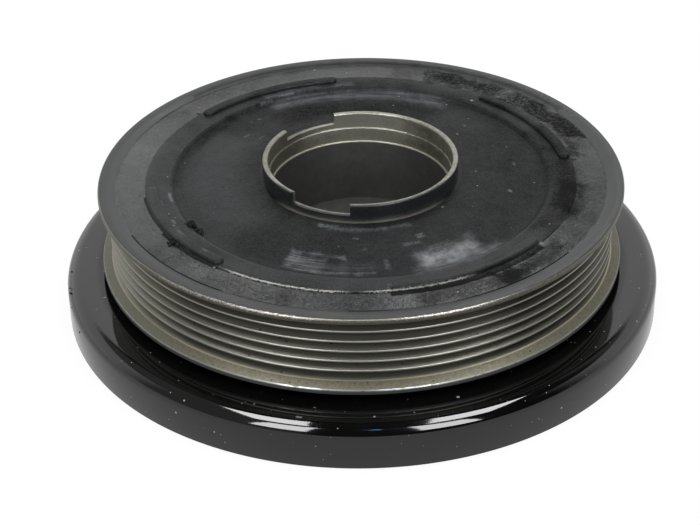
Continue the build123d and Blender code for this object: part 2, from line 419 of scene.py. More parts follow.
# materials; in their dictionaries a cloud is (scale, fine), a grain (density, size, keep),
# limits are where a smooth step starts and ends, and a spot is as in patchField
paintLook = {
    "ior": 1.6,
    "colour": (0.0034, 0.0035, 0.0038),
    "filmColour": (0.011, 0.0115, 0.011),
    "dustColour": (0.42, 0.43, 0.42),
    "film": (34, 0.6), "filmCover": 0.2, "dust": (330, 0.13, 0.1), "fineDust": (900, 0.16, 0.08),
    "dustCover": 0.85,
    "flecks": [
        ((288.6, 0.3, 89.6, 0.45, 0.15), 1),
        ((258.4, 0.5, 95.8, 0.3, 0.25), 0.6),
        ((249.3, 0.2, 93.1, 0.25, 0.15), 0.7),
        ((260.7, 0.25, 90.5, 0.2, 0.15), 0.5),
    ],
    "fleckRagged": 0.08, "roughness": 0.042, "filmRough": 0.05, "filmBase": 0.4, "dustRough": 0.6,
    "peel": (600, 4, 0.6), "dustHeight": 3.0, "bump": (0.03, 0.0002),
}
look = paintLook
glossPaint, tree, shader, place = newMaterial("glossPaint")
film = cloud(tree, look["film"])
dust = most(speck(tree, look["dust"]), speck(tree, look["fineDust"]),
            joinFields(tree, place, look["flecks"], look["fleckRagged"]))
filmCover = times(plus(film, look["filmCover"], clamp=True), look["filmCover"])
colour = blend(filmCover, look["colour"], look["filmColour"])
colour = blend(times(dust, look["dustCover"]), colour, look["dustColour"])
rough = weighed(look["roughness"], (plus(film, look["filmBase"], clamp=True), look["filmRough"]))
rough = plus(rough, times(dust, look["dustRough"]), clamp=True)
shader.inputs["IOR"].default_value = look["ior"]
finish(shader, colour, rough)
bumpOf(shader, plus(grainNoise(tree, *look["peel"]), times(dust, look["dustHeight"])), *look["bump"])

rubberLook = {
    "dish": {"colour": (0.0235, 0.0247, 0.0254), "specular": 0.065, "roughness": 0.42},
    "band": {"colour": (0.026, 0.0275, 0.0285), "specular": 0.11, "roughness": 0.32},
    "annulus": {"colour": (0.0285, 0.0305, 0.0317), "specular": 0.36, "roughness": 0.2},
    "dishLimits": (61.5, 64.5), "annulusLimits": (71.2, 71.8),
    "darkColour": (0.006, 0.006, 0.007),
    "wipedHighlightColour": (0.22, 0.24, 0.256),
    "markAndHighlightColour": (0.2, 0.22, 0.225),
    "scrapedColour": (0.075, 0.079, 0.082),
    "glintColour": (0.95, 0.93, 0.88),
    "rampShadeColour": (0.005, 0.0052, 0.0055),
    "dustColour": (0.42, 0.43, 0.43),
    "smudge": (26, 0.6), "fineSmudge": (190, 0.75), "whiteDust": (420, 0.13, 0.07),
    "bigDust": (150, 0.09, 0.035), "darkPits": (620, 0.24, 0.16), "grain": (1500, 2, 0.6),
    "pitting": (1300, 4, 0.7), "skin": (700, 5, 0.6),
    "toneOf": {"smudge": 0.35, "fineSmudge": 0.45, "grain": 1.5, "least": 0.2}, "toneRagged": 0.8,
    "streakScale": (3.2, 0.06), "streakLimits": (0.36, 0.62, 0.1, 1), "smooth": (300, 12, 55.5, 4, 5),
    "patchyLimits": (-0.45, 0.25, 0.35, 1), "wipedRagged": 0.9, "erodedRagged": 2.2,
    "pittedLimits": (0.38, 0.56, 0.45, 1), "scraped": (45.5, 5.5, 77.8, 4.2, 0.8), "scrapedRagged": 1.2,
    "scrapedLimits": (0.42, 0.54, 1, 0.1), "scrapedCover": 0.8, "pitCover": (0.6, 0.25), "dustCover": 0.75,
    "markRagged": 0.3, "markLimits": (-0.16, 0.1, 0.3, 1),
    "rampShadeSpots": [
        ((298.6, 21.8, 72.75, 1.25, 0.3), 1),
        ((220.5, 10.5, 72.3, 0.75, 0.3), 1),
        ((203, 12, 71.85, 0.4, 0.35), 1),
        ((254, 26, 71.8, 0.3, 0.35), 1),
    ],
    "rampRagged": 0.12, "rampLimits": (44.69, 44.71), "rampCover": 0.95,
    "stepEdge": {"edgeRadius": 71.4, "edgeHeight": 44.7, "reach": 0.68, "grain": 2200.0, "cover": 0.5},
    "stepGlintSpots": [((250, 14, 71.5, 2, 7), 1), ((284, 12, 71.5, 2, 6), 0.75)],
    "stepRagged": 0.5, "wipedSpecular": 0.5, "pittedMatt": 0.9,
    "roughOf": {"smudge": 0.05, "wipedAndHighlight": -0.12, "pitted": 0.45},
    "heightOf": {"skin": 0.6, "pitted": -3.0, "pits": -0.5}, "bump": (0.45, 0.0003),
}
# how much brighter or darker the face is than its own tone: partly real grime, partly painted light and shade that
# make whole sides of the dish, band and annulus lighter or darker
toneAndShadePatches = [
    ((185, 38, 50, 9, 8), 0.75),
    ((190, 30, 67.5, 4.5, 4), 0.2),
    ((188, 26, 77, 6, 4), 0.5),
    ((-4, 30, 67.5, 4.5, 4), -0.55),
    ((313, 11, 78, 2.5, 3), -0.55),
    ((345, 8, 73, 1.5, 3), -0.5),
    ((268, 36, 67, 3.6, 1.6), 0.2),
    ((243, 11, 77, 5, 3), -0.48),
    ((264, 12, 77, 5, 3), -0.17),
    ((295, 13, 77, 5, 3.5), -0.78),
    ((331, 8, 77, 5, 4), -0.25),
    ((72, 9, 77, 5, 4), -0.35),
    ((45, 16, 72.8, 1, 1.2), -0.5),
    ((20, 8, 78, 4, 3), -0.35),
    ((82, 42, 66.5, 3.5, 4), -0.35),
    ((10, 22, 48, 8, 8), -0.12),
    ((140, 7, 54, 4, 4), -0.25),
    ((150, 9, 60, 1.2, 1.6), -0.4),
    ((92, 34, 48, 7, 5), -0.6),
    ((-13, 8, 69, 3, 2), -0.25),
    ((118, 20, 62, 1, 2), -0.35),
    ((160, 25, 61.5, 0.8, 2), -0.4),
    ((128, 22, 77, 7, 8), -0.5),
    ((90, 18, 77, 7, 8), -0.36),
    ((-4, 20, 77, 7, 8), -0.14),
]
# wiped glossy fields brushed round the shaft, whose pale colour also paints the lamps' highlights on the dish
wipedPatchesAndHighlights = [
    ((294.5, 5.5, 56.5, 4, 4), 1),
    ((301, 9, 57.6, 4.8, 4), 0.8),
    ((296, 10, 61.4, 2, 2.2), 0.8),
    ((310, 6, 60.5, 1.2, 2.4), 0.5),
    ((247.3, 1.8, 55.5, 4.4, 1), 0.85),
    ((252, 6, 56.5, 3.2, 2.2), 0.5),
    ((255, 9, 51.6, 0.5, 0.9), 0.5),
    ((260, 14, 59.2, 0.8, 1), 0.55),
    ((263, 10, 57, 1.5, 2.4), 0.24),
    ((90, 30, 59.5, 1.8, 3.2), 0.65),
    ((112, 9, 65.5, 1.2, 2), 0.4),
    ((95, 3, 66, 1.2, 1), 0.3),
]
erodedPatches = [
    ((32, 14.5, 77.3, 4.6, 2.6), 0.95),
    ((15, 7, 74, 2, 2.2), 0.8),
    ((60, 10.5, 76.6, 4.2, 2.6), 0.95),
    ((313, 9, 77.5, 2.2, 2.4), 0.5),
    ((345, 8, 73.5, 1.6, 2.2), 0.5),
]
# short pale smears of dirt; the last two entries paint a highlight along a rib's inner edge and on the rib's end
paleMarksAndHighlights = [
    ((192.5, 2.6, 63.6, 0.45, 0.5), 0.95),
    ((195.2, 1.4, 67, 0.25, 0.4), 0.6),
    ((198.5, 1.6, 62.4, 0.25, 0.4), 0.4),
    ((206.3, 1.2, 66.7, 0.3, 0.4), 0.75),
    ((213.4, 1.4, 68.2, 0.6, 0.7), 0.4),
    ((224.9, 0.7, 68.6, 0.4, 0.5), 0.45),
    ((122.1, 2.2, 63, 0.5, 0.7), 0.6),
    ((114.5, 2.6, 64.1, 0.5, 0.6), 0.75),
    ((130.4, 0.7, 54.2, 0.4, 0.4), 0.9),
    ((145, 1.4, 47.7, 0.35, 0.5), 0.45),
    ((143.7, 1.6, 42.3, 0.2, 0.4), 0.45),
    ((42.5, 0.9, 49.2, 0.5, 0.4), 0.5),
    ((7.3, 1.4, 52, 0.4, 0.4), 0.45),
    ((346.2, 0.6, 50.3, 0.5, 0.4), 0.8),
    ((330.7, 0.6, 42.3, 0.4, 0.4), 0.25),
    ((267.7, 1, 42.1, 0.35, 0.4), 0.6),
    ((271.3, 0.7, 47.4, 0.5, 0.4), 0.35),
    ((278, 0.7, 55.2, 2.2, 0.8), 0.5),
    ((289.6, 3.4, 47.2, 0.6, 0.7), 0.5),
    ((294.5, 1.4, 44.4, 0.8, 0.7), 0.75),
    ((253.5, 5, 36.6, 0.8, 0.7), 0.75),
    ((274, 20, 37.5, 0.8, 1), 0.42),
    # painted highlights on the rib's inner edge and on its end
    ((298.5, 20, 67.6, 0.2, 0.25), 0.5),
    ((276.9, 0.4, 69.4, 1.6, 0.3), 0.4),
]
look = rubberLook
faceRubber, tree, shader, place = newMaterial("faceRubber")
smudge = cloud(tree, look["smudge"])
fineSmudge = cloud(tree, look["fineSmudge"])
darkPits = speck(tree, look["darkPits"])
grain = less(grainNoise(tree, *look["grain"]), 0.5)
pitting = grainNoise(tree, *look["pitting"])
onDish = short(place["radius"], look["dishLimits"])
onAnnulus = past(place["radius"], look["annulusLimits"])
colour = blend(onDish, look["band"]["colour"], look["dish"]["colour"])
colour = blend(onAnnulus, colour, look["annulus"]["colour"])
toneOf = look["toneOf"]
toneAndShadeFields = [(patchField(tree, place, spot, look["toneRagged"]), change) for spot, change in toneAndShadePatches]
toneWithShade = weighed(1.0, (smudge, toneOf["smudge"]), (fineSmudge, toneOf["fineSmudge"]),
               (grain, toneOf["grain"]), *toneAndShadeFields)
toneWithShade = most(toneWithShade, toneOf["least"])
toned = addNode(tree, "ShaderNodeVectorMath", operation="SCALE")
plug(toned.inputs[0], colour)
plug(toned.inputs["Scale"], toneWithShade)
streaks = ease(turningLines(tree, place, *look["streakScale"]), *look["streakLimits"])
streaks = most(streaks, patchField(tree, place, look["smooth"], look["wipedRagged"]))
patchy = ease(fineSmudge, *look["patchyLimits"])
# painted highlight: a pale wiped colour where the dish shows the lamps, front and back
wipedAndHighlight = times(joinFields(tree, place, wipedPatchesAndHighlights, look["wipedRagged"]), streaks, patchy)
colour = blend(wipedAndHighlight, toned.outputs[0], look["wipedHighlightColour"])
eroded = joinFields(tree, place, erodedPatches, look["erodedRagged"])
pitted = times(eroded, ease(pitting, *look["pittedLimits"]))
colour = blend(pitted, colour, look["darkColour"])
scraped = patchField(tree, place, look["scraped"], look["scrapedRagged"])
scraped = times(scraped, ease(pitting, *look["scrapedLimits"]), look["scrapedCover"])
colour = blend(scraped, colour, look["scrapedColour"])
pitCover = weighed(look["pitCover"][1], (onAnnulus, look["pitCover"][0]))
colour = blend(times(darkPits, pitCover), colour, look["darkColour"])
dust = most(speck(tree, look["whiteDust"]), speck(tree, look["bigDust"]))
colour = blend(times(dust, look["dustCover"]), colour, look["dustColour"])
marksAndHighlights = joinFields(tree, place, paleMarksAndHighlights, look["markRagged"])
colour = blend(times(marksAndHighlights, ease(grain, *look["markLimits"])), colour, look["markAndHighlightColour"])
# painted shade: the ramps outside the front ribs and the step between them are coloured near black
rampShade = joinFields(tree, place, look["rampShadeSpots"], look["rampRagged"])
rampShade = times(rampShade, short(place["height"], look["rampLimits"]))
colour = blend(times(rampShade, look["rampCover"]), colour, look["rampShadeColour"])
# painted glint: a near-white ragged line along the step edge on the front side
stepGlint = joinFields(tree, place, look["stepGlintSpots"], look["stepRagged"])
stepGlint = times(edgeOf(tree, place, **look["stepEdge"]), stepGlint)
colour = blend(stepGlint, colour, look["glintColour"])


def acrossFace(label):
    # a value of the dish, the band or the annulus, whichever it is
    value = ease(onDish, 0.0, 1.0, look["band"][label], look["dish"][label])
    return plus(value, times(onAnnulus, look["annulus"][label] - look["band"][label]))


spec = weighed(times(acrossFace("specular"), toneWithShade), (wipedAndHighlight, look["wipedSpecular"]))
spec = times(spec, less(1.0, times(most(pitted, rampShade), look["pittedMatt"])))
roughOf = look["roughOf"]
rough = weighed(acrossFace("roughness"), (smudge, roughOf["smudge"]), (fineSmudge, roughOf["smudge"]),
                (wipedAndHighlight, roughOf["wipedAndHighlight"]), (pitted, roughOf["pitted"]), clamp=True)
finish(shader, colour, rough, specular=spec)
heightOf = look["heightOf"]
skin = weighed(times(pitted, pitting, heightOf["pitted"]), (darkPits, heightOf["pits"]),
               (grainNoise(tree, *look["skin"]), heightOf["skin"]))
bumpOf(shader, skin, *look["bump"])

steelLook = {
    "colour": (0.205, 0.203, 0.176),
    "darkColour": (0.086, 0.086, 0.068),
    "stainColour": (0.03, 0.028, 0.022),
    "rightShadeColour": (0.05, 0.048, 0.036),
    "leftLightColour": (0.29, 0.287, 0.235),
    "landColour": (0.175, 0.167, 0.12),
    "landDark": (0.04, 0.036, 0.026), "landLitColour": (0.2, 0.197, 0.165), "landStain": (0.12, 0.114, 0.082),
    "rimColour": (0.085, 0.088, 0.092),
    "edgeHighlightColour": (0.46, 0.48, 0.5),
    "crestHighlightColour": (0.29, 0.285, 0.26),
    "firstCrest": (0.32, 0.285, 0.2),
    "wornColour": (0.36, 0.345, 0.32),
    "coatColour": (0.032, 0.0335, 0.035),
    "bandColour": (0.1, 0.096, 0.078),
    "lines": 9.0, "oil": (30, 0.6), "stain": (520, 0.24, 0.16), "dirtOf": {"oil": 0.5, "lines": 0.45},
    "stainCover": 0.7, "topLimits": (44.9, 45.05), "lipLimits": (86.7, 86.95), "slopeLimits": (84.4, 84.6),
    "coatFoot": (43.6, 43.8), "boreLimits": (80.2, 80.5),
    "lipEdge": {"edgeRadius": 87.05, "edgeHeight": 44.7, "reach": 0.9, "grain": 2300.0, "cover": 0.3},
    "lipGlintSpots": [((243, 17, 87, 3, 5), 0.72), ((287, 9, 87, 3, 5), 0.72)],
    "lipRagged": 0.6, "lipBase": 0.28, "rightShade": (-20, 38, 84, 8, 14), "oilyRagged": 1.0, "oilyCover": 0.8,
    "leftLight": (200, 24, 84, 8, 14), "leftRagged": 0.6, "leftCover": 0.6, "crestLimits": (83.75, 83.95),
    "crestTop": (43, 43.2), "crestFoot": (20.2, 20.5), "firstLimits": (21.3, 21.6), "landLimits": (84.15, 84.4),
    "landTop": (20.9, 21.1), "landGrain": (1100, 4, 0.7), "landGrainLimits": (0.4, 0.62), "landGrainCover": 0.8,
    "landPits": (760, 0.27, 0.15), "landLeft": 0.7,
    "flangeHighlight": {"edgeRadius": 87.3, "edgeHeight": 19.6, "reach": 0.42, "grain": 1100.0, "cover": 1.0},
    "flangeHighlightSpots": [((257.5, 4, 87, 3, 4), 0.66), ((279.5, 6, 87, 3, 4), 0.6)],
    "flangeRagged": 0.4, "flangeBase": 0.32, "rimLimits": (87, 87.2), "rimTop": (19.2, 19.5), "rimCover": 0.85,
    "bandLimits": (86.8, 86.95), "bandFoot": (43, 43.4), "metallic": (0.2, 0.75),
    "hollow": (84, 52, 83, 0.7, 0.9), "hollowRagged": 0.3,
    "specular": {"bare": 0.15, "coat": 0.29, "hollow": -0.36}, "roughness": 0.34,
    "roughOf": {"oil": 0.08, "lines": 0.1}, "heightOf": {"lines": 0.5, "stain": -0.6}, "bump": (0.25, 0.0001),
}
look = steelLook
pulleySteel, tree, shader, place = newMaterial("pulleySteel")
radius, height = place["radius"], place["height"]
lines = turningLines(tree, place, look["lines"])
oil = cloud(tree, look["oil"])
stain = speck(tree, look["stain"])
coat = times(past(height, look["topLimits"]), short(radius, look["lipLimits"]))
coat = times(most(coat, short(radius, look["slopeLimits"])), past(height, look["coatFoot"]))
coat = most(coat, short(radius, look["boreLimits"]))
# worn bare edge of the lip, widened at two front spots where it stands in for the lamps' glint
lipWearAndGlint = plus(joinFields(tree, place, look["lipGlintSpots"], look["lipRagged"]), look["lipBase"])
lipWearAndGlint = times(edgeOf(tree, place, **look["lipEdge"]), lipWearAndGlint)
coat = times(coat, rest(lipWearAndGlint))
dirt = weighed(0.0, (oil, look["dirtOf"]["oil"]), (lines, look["dirtOf"]["lines"]), clamp=True)
steel = blend(dirt, look["colour"], look["darkColour"])
steel = blend(times(stain, look["stainCover"]), steel, look["stainColour"])
# painted shade on the right side of the grooves and painted light on the left side of the grooves and land
rightShade = patchField(tree, place, look["rightShade"], look["oilyRagged"])
steel = blend(times(rightShade, look["oilyCover"]), steel, look["rightShadeColour"])
leftLight = patchField(tree, place, look["leftLight"], look["leftRagged"])
steel = blend(times(leftLight, look["leftCover"]), steel, look["leftLightColour"])
# painted highlight: the belt crests, the first one brightest, are coloured lighter than the steel
crestHighlight = times(past(radius, look["crestLimits"]), short(height, look["crestTop"]),
                past(height, look["crestFoot"]))
crestHighlightTone = blend(past(height, look["firstLimits"]), look["firstCrest"], look["crestHighlightColour"])
steel = blend(crestHighlight, steel, crestHighlightTone)
onLand = times(past(radius, look["landLimits"]), short(height, look["landTop"]))
landGrain = past(grainNoise(tree, *look["landGrain"]), look["landGrainLimits"])
landTone = blend(times(landGrain, look["landGrainCover"]), look["landColour"], look["landStain"])
landTone = blend(speck(tree, look["landPits"]), landTone, look["landDark"])
landTone = blend(times(leftLight, look["landLeft"]), landTone, look["landLitColour"])
onRim = times(past(radius, look["rimLimits"]), short(height, look["rimTop"]), look["rimCover"])
landTone = blend(onRim, landTone, look["rimColour"])
# painted highlight: a bluish-white ragged line along the flange edge, strongest at the front where the lamps show
flangeHighlight = plus(joinFields(tree, place, look["flangeHighlightSpots"], look["flangeRagged"]), look["flangeBase"])
flangeHighlight = times(edgeOf(tree, place, **look["flangeHighlight"]), flangeHighlight)
landTone = blend(flangeHighlight, landTone, look["edgeHighlightColour"])
steel = blend(onLand, steel, landTone)
lipBand = times(past(radius, look["bandLimits"]), past(height, look["bandFoot"]))
steel = blend(lipBand, steel, look["bandColour"])
steel = blend(lipWearAndGlint, steel, look["wornColour"])
steel = blend(coat, steel, look["coatColour"])
filmy = rest(times(onLand, less(1.0, flangeHighlight)))
metallic = times(rest(coat), weighed(look["metallic"][0], (filmy, look["metallic"][1])))
hollow = patchField(tree, place, look["hollow"], look["hollowRagged"])
coatSpecular = weighed(look["specular"]["coat"], (hollow, look["specular"]["hollow"]))
specular = plus(times(coat, coatSpecular), look["specular"]["bare"])
rough = weighed(look["roughness"], (oil, look["roughOf"]["oil"]), (lines, look["roughOf"]["lines"]))
finish(shader, steel, rough, metallic, specular)
relief = weighed(0.0, (lines, look["heightOf"]["lines"]), (stain, look["heightOf"]["stain"]))
bumpOf(shader, relief, *look["bump"])

collarLook = {
    "colour": (0.36, 0.35, 0.298),
    "darkColour": (0.13, 0.127, 0.098),
    "coatColour": (0.022, 0.0255, 0.0285),
    "lines": 6.0, "patina": (90, 0.65), "mottle": (520, 0.75), "nearSide": (270, 60, 31, 4, 8),
    "nearRagged": 0.3, "nearShift": (0.6, -0.3), "coatLimits": (31.85, 32.1), "coatTop": (51, 51.2),
    "backLit": (90, 32, 31, 4, 12), "backRagged": 0.5, "wallTop": (50.3, 50.8),
    "dullOf": {"patina": 0.45, "lines": 0.4, "mottle": 0.55, "top": 0.5, "wall": 0.42, "back": -0.74},
    "metallic": 0.45, "specular": (0.4, -0.15), "roughness": 0.36, "roughOf": {"patina": 0.08, "coat": -0.08},
    "bump": (0.3, 0.0001),
}
look = collarLook
collarSteel, tree, shader, place = newMaterial("collarSteel")
lines = turningLines(tree, place, look["lines"])
patina = cloud(tree, look["patina"])
mottle = cloud(tree, look["mottle"])
nearSide = patchField(tree, place, look["nearSide"], look["nearRagged"])
outward = weighed(place["radius"], (nearSide, look["nearShift"][0]))
upward = weighed(place["height"], (nearSide, look["nearShift"][1]))
coat = times(past(outward, look["coatLimits"]), short(upward, look["coatTop"]))
dullOf = look["dullOf"]
# painted shade: the collar wall below its top and the sides are darker, the far side lighter, mixed with real
# patina, mottle and tool lines
backLit = patchField(tree, place, look["backLit"], look["backRagged"])
wallShade = plus(short(place["height"], look["wallTop"]), dullOf["top"])
wallShade = times(wallShade, weighed(dullOf["wall"], (backLit, dullOf["back"])))
dullAndShade = weighed(wallShade, (patina, dullOf["patina"]), (lines, dullOf["lines"]), (mottle, dullOf["mottle"]),
               clamp=True)
steel = blend(dullAndShade, look["colour"], look["darkColour"])
rough = weighed(look["roughness"], (patina, look["roughOf"]["patina"]), (coat, look["roughOf"]["coat"]))
finish(shader, blend(coat, steel, look["coatColour"]), rough, times(rest(coat), look["metallic"]),
       weighed(look["specular"][0], (coat, look["specular"][1])))
bumpOf(shader, plus(lines, mottle), *look["bump"])

hubLook = {
    "colour": (0.125, 0.125, 0.122),
    "darkColour": (0.048, 0.048, 0.047),
    "bossColour": (0.3, 0.29, 0.235),
    "backColour": (0.012, 0.012, 0.013),
    "lines": 4.0, "patina": (70, 0.7), "blotch": (240, 0.7),
    "darkOf": {"patina": 0.4, "blotch": 0.35, "base": 0.45}, "bossLimits": (40.3, 40.6),
    "backLimits": (33.2, 33.5), "backTop": (17, 17.2), "metallic": 0.6, "roughness": 0.5,
    "roughOf": {"patina": 0.1, "back": -0.2}, "lineHeight": 0.5, "bump": (0.3, 0.0001),
}
look = hubLook
hubSteel, tree, shader, place = newMaterial("hubSteel")
patina = cloud(tree, look["patina"])
blotch = cloud(tree, look["blotch"])
darkOf = look["darkOf"]
dark = weighed(darkOf["base"], (patina, darkOf["patina"]), (blotch, darkOf["blotch"]), clamp=True)
steel = blend(dark, look["colour"], look["darkColour"])
steel = blend(past(place["height"], look["bossLimits"]), steel, look["bossColour"])
backPaint = times(past(place["radius"], look["backLimits"]), short(place["height"], look["backTop"]))
rough = weighed(look["roughness"], (patina, look["roughOf"]["patina"]), (backPaint, look["roughOf"]["back"]))
finish(shader, blend(backPaint, steel, look["backColour"]), rough,
       times(rest(backPaint), look["metallic"]))
relief = weighed(blotch, (turningLines(tree, place, look["lines"]), look["lineHeight"]))
bumpOf(shader, relief, *look["bump"])

sleeveLook = {
    "colour": (0.42, 0.395, 0.34),
    "darkColour": (0.05, 0.048, 0.042),
    "shadeColour": (0.018, 0.018, 0.017),
    "lines": 8.0, "patina": (120, 0.65), "darkOf": {"patina": 0.5, "lines": 0.3}, "topLimits": (44, 44.5),
    "bright": (270, 48, 33.5, 3, 7), "brightRagged": 0.4, "roughness": 0.42, "patinaRough": 0.1,
    "bump": (0.2, 0.0001),
}
look = sleeveLook
sheetSteel, tree, shader, place = newMaterial("sheetSteel")
patina = cloud(tree, look["patina"])
lines = turningLines(tree, place, look["lines"])
dark = weighed(0.0, (patina, look["darkOf"]["patina"]), (lines, look["darkOf"]["lines"]), clamp=True)
steel = blend(dark, look["colour"], look["darkColour"])
# painted shade: the sleeve's top edge is coloured near black except on the front side
sleeveShade = less(past(place["height"], look["topLimits"]),
              patchField(tree, place, look["bright"], look["brightRagged"]), clamp=True)
finish(shader, blend(sleeveShade, steel, look["shadeColour"]),
       weighed(look["roughness"], (patina, look["patinaRough"])), 1.0)
bumpOf(shader, lines, *look["bump"])


def plainMaterial(name, look):
    # two tones in soft clouds, with a grain or with tool lines
    material, tree, shader, place = newMaterial(name)
    patina = cloud(tree, look["patina"])
    cover = weighed(look["shift"], (patina, look["cover"]), clamp=True)
    rough = weighed(look["roughness"], (patina, look["patinaRough"]))
    colour = blend(cover, look["colour"], look["otherColour"])
    finish(shader, colour, rough, look["metallic"])
    relief = turningLines(tree, place, look["lines"]) if "lines" in look else grainNoise(tree, *look["grain"])
    bumpOf(shader, relief, *look["bump"])
    return material


trackRubber = plainMaterial("trackRubber", {
    "colour": (0.012, 0.012, 0.0125), "otherColour": (0.03, 0.03, 0.03), "patina": (60, 0.6), "cover": 0.5,
    "shift": 0.2, "metallic": 0.0, "roughness": 0.62, "patinaRough": 0.08, "grain": (800, 4, 0.6),
    "bump": (0.3, 0.0002)})
bearingPolymer = plainMaterial("bearingPolymer", {
    "colour": (0.035, 0.034, 0.03), "otherColour": (0.06, 0.058, 0.05), "patina": (80, 0.6), "cover": 1,
    "shift": 0.3, "metallic": 0.0, "roughness": 0.5, "patinaRough": 0.08, "lines": 5,
    "bump": (0.15, 0.0001)})
bearingBronze = plainMaterial("bearingBronze", {
    "colour": (0.42, 0.29, 0.14), "otherColour": (0.2, 0.13, 0.06), "patina": (80, 0.6), "cover": 1,
    "shift": 0.3, "metallic": 1.0, "roughness": 0.38, "patinaRough": 0.08, "lines": 5,
    "bump": (0.15, 0.0001)})

crumbLook = {"colour": (0.009, 0.009, 0.0095), "paleColour": (0.03, 0.03, 0.03), "grain": (900.0, 0.7),
             "roughness": 0.7, "uneven": (400.0, 0.5), "unevenRough": 0.1, "specular": 0.12}
look = crumbLook
crumbDark, tree, shader, place = newMaterial("crumbDark")
colour = blend(cloud(tree, look["grain"]), look["colour"], look["paleColour"])
rough = weighed(look["roughness"], (cloud(tree, look["uneven"]), look["unevenRough"]))
finish(shader, colour, rough, specular=look["specular"])
print("materials made")

# pieces; a profile is a list of (radius, height, rounding)
inertiaRing = {"steps": 320, "profile": [
    (80, 0, 0.3),
    (100, 0, 0.25),
    (100, 15.1, 4.8),
    (80, 15.1, 0.3),
]}
turnedPiece("inertiaRing", inertiaRing, "inertia_ring", glossPaint)

track = {"steps": 192, "profile": [
    (76.5, 2.5, 0),
    (78.25, 3.4, 0.8),
    (80, 2.5, 0),
    (80, 11.2, 0),
    (78.25, 10.3, 0.8),
    (76.5, 11.2, 0),
]}
turnedPiece("damperRubber", track, "damper_rubber", trackRubber)

hub = {"steps": 192, "holes": 4, "holeStart": 45, "holeCircle": 20.0, "holeRadius": 4.5, "holeHeight": 13.5,
       "holeDepth": 14.0, "holeSteps": 40, "profile": [
    (12, 9, 1),
    (33, 9, 0.2),
    (33, 10, 0.2),
    (52, 10, 1.2),
    (55.5, 6, 1.2),
    (70.9, 6, 0.6),
    (71.5, 1.5, 0.5),
    (76.5, 1.5, 0.3),
    (76.5, 12.2, 0.3),
    (62.5, 12.2, 1.2),
    (55.5, 16.2, 1.2),
    (37, 16.2, 0.3),
    (37, 41.03, 0.5),
    (29.6, 41.03, 0.5),
    (29.6, 18.3, 0),
    (12, 18.3, 1),
]}
hubPiece = turnedPiece("crankHub", hub, "crank_hub", hubSteel)
holes = bmesh.new()
for index in range(hub["holes"]):
    angle = radians(hub["holeStart"] + 360 / hub["holes"] * index)
    bmesh.ops.create_cone(holes, cap_ends=True, segments=hub["holeSteps"], radius1=hub["holeRadius"] * mm,
                          radius2=hub["holeRadius"] * mm, depth=hub["holeDepth"] * mm,
                          matrix=Matrix.Translation(polar(hub["holeCircle"], angle, hub["holeHeight"])))
cutBy(hubPiece, holes)

pulley = {
    "steps": 320, "pitch": 3.56, "grooves": 6, "firstCrest": 20.77, "crest": 84.0, "root": 80.95,
    "crestFlat": 0.62, "rootFlat": 0.72, "crestRounding": 0.22, "rootRounding": 0.3,
    "flange": [(78, 18, 0.3), (87.3, 18, 0.25), (87.3, 19.6, 0.3), (84, 21.08, 0.25)],
    "lip": [(84, 41.82, 0.25), (87.1, 43.3, 0.3), (87.1, 45.1, 0.8), (84.5, 45.1, 0.5), (81.4, 44.3, 0.2),
            (81.4, 42.5, 0)],
    "web": [(78, 42.5, 0), (78, 21.2, 0.6), (42.45, 21.2, 0.6), (42.45, 26.9, 0.3), (39.05, 26.9, 0.2),
            (39.05, 17.7, 0.2), (78, 17.7, 0)],
}
belt = []
for groove in range(pulley["grooves"]):
    middle = pulley["firstCrest"] + (groove + 0.5) * pulley["pitch"]
    for side in (-1, 1):
        belt.append((pulley["root"], middle + side * pulley["rootFlat"] / 2, pulley["rootRounding"]))
    if groove < pulley["grooves"] - 1:
        for side in (-1, 1):
            height = middle + (pulley["pitch"] + side * pulley["crestFlat"]) / 2
            belt.append((pulley["crest"], height, pulley["crestRounding"]))
pulley["profile"] = pulley["flange"] + belt + pulley["lip"] + pulley["web"]
turnedPiece("beltPulley", pulley, "belt_pulley", pulleySteel)

sleeve = {"steps": 192, "profile": [
    (37, 28.53, 0.2),
    (38.6, 28.53, 0.2),
    (38.6, 42.63, 1),
    (34.04, 42.63, 0.5),
    (34.04, 45.5, 0.05),
    (33.74, 45.8, 0.1),
    (32.44, 45.8, 0),
    (32.44, 41.03, 0),
    (37, 41.03, 0),
]}
turnedPiece("couplingSleeve", sleeve, "coupling_sleeve", sheetSteel)

collar = {"steps": 256, "notchAngles": (125.2, 245.2), "notchFloor": 47.63, "notchRadii": (27, 36), "notchHeight": 6,
          "notchWidth": 37.3, "notchSteps": 24, "profile": [
    (30.1, 41.03, 0.25),
    (32.44, 41.03, 0.2),
    (32.44, 51.33, 0.55),
    (30.6, 51.33, 0.55),
    (30.6, 45.8, 0.15),
    (30.1, 45.8, 0.2),
]}
collarPiece = turnedPiece("slottedCollar", collar, "slotted_collar", collarSteel)
notches = bmesh.new()
for angle in collar["notchAngles"]:
    start = radians(angle - collar["notchWidth"] / 2)
    ends = [notches.verts.new(polar(radius, start, collar["notchFloor"])) for radius in collar["notchRadii"]]
    spun(notches, ends + [notches.edges.new(ends)], radians(collar["notchWidth"]), collar["notchSteps"])
raised(notches, collar["notchHeight"])
bmesh.ops.recalc_face_normals(notches, faces=notches.faces[:])
cutBy(collarPiece, notches)

